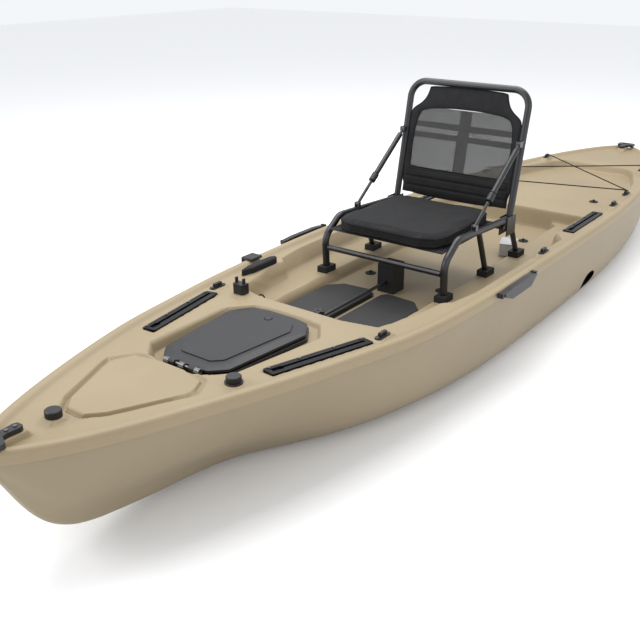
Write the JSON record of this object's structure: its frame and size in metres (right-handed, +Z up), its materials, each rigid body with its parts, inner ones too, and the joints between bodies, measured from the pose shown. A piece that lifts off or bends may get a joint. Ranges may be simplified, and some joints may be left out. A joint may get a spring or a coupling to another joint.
{
  "type": "sit-on-top fishing kayak",
  "caption": "Sit-on-top fishing kayak with a raised framed seat, reclining back on telescopic struts, hinged bow hatch, gear tracks, foot pads and a laced rear tank well.",
  "frame": {"origin": "under the middle of the hull at the level of its flat bottom", "axes": "+X towards the stern, -Y port, +Z up"},
  "size_m": [4.1158, 0.9168, 0.8664],
  "materials": {
    "hull_plastic": "rotomoulded, lightly grained",
    "deck_plastic": "rotomoulded, lightly grained",
    "black_plastic": "satin moulded",
    "black_rubber": "matt",
    "dark_steel": "blackened",
    "coated_tube": "satin black powder coat",
    "seat_cloth": "tight woven",
    "back_mesh_cloth": "open mesh",
    "webbing": "woven webbing",
    "elastic_cord": "braided",
    "foam_mat": "closed-cell foam, fine texture",
    "lid_plastic": "satin moulded",
    "grey_plastic": "satin moulded",
    "track_metal": "black anodised"
  },
  "bodies": {
    "hull": {"back_hinge_pins": "dark_steel", "back_hinge_plates": "coated_tube", "bow_handle": "black_plastic", "centre_rod": "coated_tube", "cord_loops": "elastic_cord", "deck_bow": "deck_plastic", "deck_cockpit": "deck_plastic", "deck_knob_base": "black_plastic", "deck_screws": "dark_steel", "deck_stern": "deck_plastic", "foot_pad_port": "foam_mat", "foot_pad_starboard": "foam_mat", "foot_trays": "black_plastic", "front_tracks": "track_metal", "gunwale_saddle": "black_plastic", "hatch_frame": "black_plastic", "hatch_gasket": "black_rubber", "hatch_hinge": "dark_steel", "hull_shell": "hull_plastic", "pad_eyes": "black_plastic", "paddle_clip": "black_plastic", "rear_bungees": "elastic_cord", "rear_tracks": "track_metal", "rod_bracket": "black_plastic", "rod_stand": "black_plastic", "scupper_plugs": "black_rubber", "seat_crossbars": "coated_tube", "seat_cushion": "seat_cloth", "seat_feet": "black_rubber", "seat_middle_legs": "coated_tube", "seat_rear_legs": "coated_tube", "seat_side_frames": "coated_tube", "seat_sling": "seat_cloth", "side_grip": "black_rubber", "side_handle_mounts": "black_plastic", "stern_handle": "black_plastic", "strut_foot_lugs": "dark_steel", "tackle_box": "grey_plastic"},
    "drain_cap": {"drain_cap": "black_plastic"},
    "deck_knob": {"deck_knob": "black_plastic"},
    "rod_knob": {"rod_knob": "black_plastic"},
    "hatch_lid": {"hatch_lid": "lid_plastic", "hatch_lid_mat": "foam_mat"},
    "hatch_button": {"hatch_button": "black_plastic"},
    "side_handle_port": {"side_handle_port": "black_plastic"},
    "side_handle_starboard": {"side_handle_starboard": "black_plastic"},
    "backrest": {"back_hoop": "coated_tube", "back_mesh": "back_mesh_cloth", "back_lumbar": "seat_cloth", "back_top_panel": "seat_cloth", "back_straps": "webbing", "strut_top_lugs": "dark_steel"},
    "strut_rod_port": {"strut_rod_port": "coated_tube"},
    "strut_rod_starboard": {"strut_rod_starboard": "coated_tube"},
    "strut_sleeve_port": {"strut_sleeve_port": "coated_tube", "strut_clamp_port": "black_plastic"},
    "strut_sleeve_starboard": {"strut_sleeve_starboard": "coated_tube", "strut_clamp_starboard": "black_plastic"},
    "tackle_box_lid": {"tackle_box_lid": "grey_plastic"}
  },
  "joints": [
    {"name": "drain_cap_turn", "type": "hinge", "parent": "hull", "child": "drain_cap", "pos_m": [-1.87, 0, 0.35458], "axis": [0, 0, 1], "continuous": true},
    {"name": "deck_knob_turn", "type": "hinge", "parent": "hull", "child": "deck_knob", "pos_m": [-1.487, -0.196, 0.34124], "axis": [0, 0, 1], "continuous": true},
    {"name": "rod_knob_turn", "type": "hinge", "parent": "hull", "child": "rod_knob", "pos_m": [-0.886, 0, 0.258], "axis": [0, 0, 1], "continuous": true},
    {"name": "hatch_lid_open", "type": "hinge", "parent": "hull", "child": "hatch_lid", "pos_m": [-1.472, 0, 0.3183], "axis": [0, -1, 0], "range_deg": [0, 105]},
    {"name": "hatch_button_press", "type": "slide", "parent": "hatch_lid", "child": "hatch_button", "axis": [0, 0, -1], "range_m": [0, 0.003], "stiffness_N_per_m": 400},
    {"name": "side_handle_port_swing", "type": "hinge", "parent": "hull", "child": "side_handle_port", "pos_m": [-0.385, -0.44835, 0.30712], "axis": [-1, 0, 0], "range_deg": [0, 85]},
    {"name": "side_handle_starboard_swing", "type": "hinge", "parent": "hull", "child": "side_handle_starboard", "pos_m": [-0.385, 0.44835, 0.30712], "axis": [1, 0, 0], "range_deg": [0, 85]},
    {"name": "backrest_recline", "type": "hinge", "parent": "hull", "child": "backrest", "pos_m": [-0.0412, 0, 0.41192], "axis": [0, 1, 0], "range_deg": [-4, 16]},
    {"name": "tackle_box_lid_open", "type": "hinge", "parent": "hull", "child": "tackle_box_lid", "pos_m": [0.14011, -0.13457, 0.252], "axis": [-0.9511, -0.309, 0], "range_deg": [0, 100]},
    {"name": "strut_port_tilt", "type": "hinge", "parent": "hull", "child": "strut_rod_port", "pos_m": [-0.318, -0.242, 0.44656], "axis": [0, 1, 0], "range_deg": [-2.2, 8]},
    {"name": "strut_port_extend", "type": "slide", "parent": "strut_rod_port", "child": "strut_sleeve_port", "axis": [0.8007, 0, 0.599], "range_m": [-0.0135, 0.052]},
    {"name": "strut_starboard_tilt", "type": "hinge", "parent": "hull", "child": "strut_rod_starboard", "pos_m": [-0.318, 0.242, 0.44656], "axis": [0, 1, 0], "range_deg": [-2.2, 8]},
    {"name": "strut_starboard_extend", "type": "slide", "parent": "strut_rod_starboard", "child": "strut_sleeve_starboard", "axis": [0.8007, 0, 0.599], "range_m": [-0.0135, 0.052]}
  ],
  "couplings": [
    {"joint": "strut_port_tilt", "follows": "backrest_recline", "ratio": 0.4767},
    {"joint": "strut_port_extend", "follows": "backrest_recline", "m_per_rad": 0.182},
    {"joint": "strut_starboard_tilt", "follows": "backrest_recline", "ratio": 0.4767},
    {"joint": "strut_starboard_extend", "follows": "backrest_recline", "m_per_rad": 0.182}
  ]
}
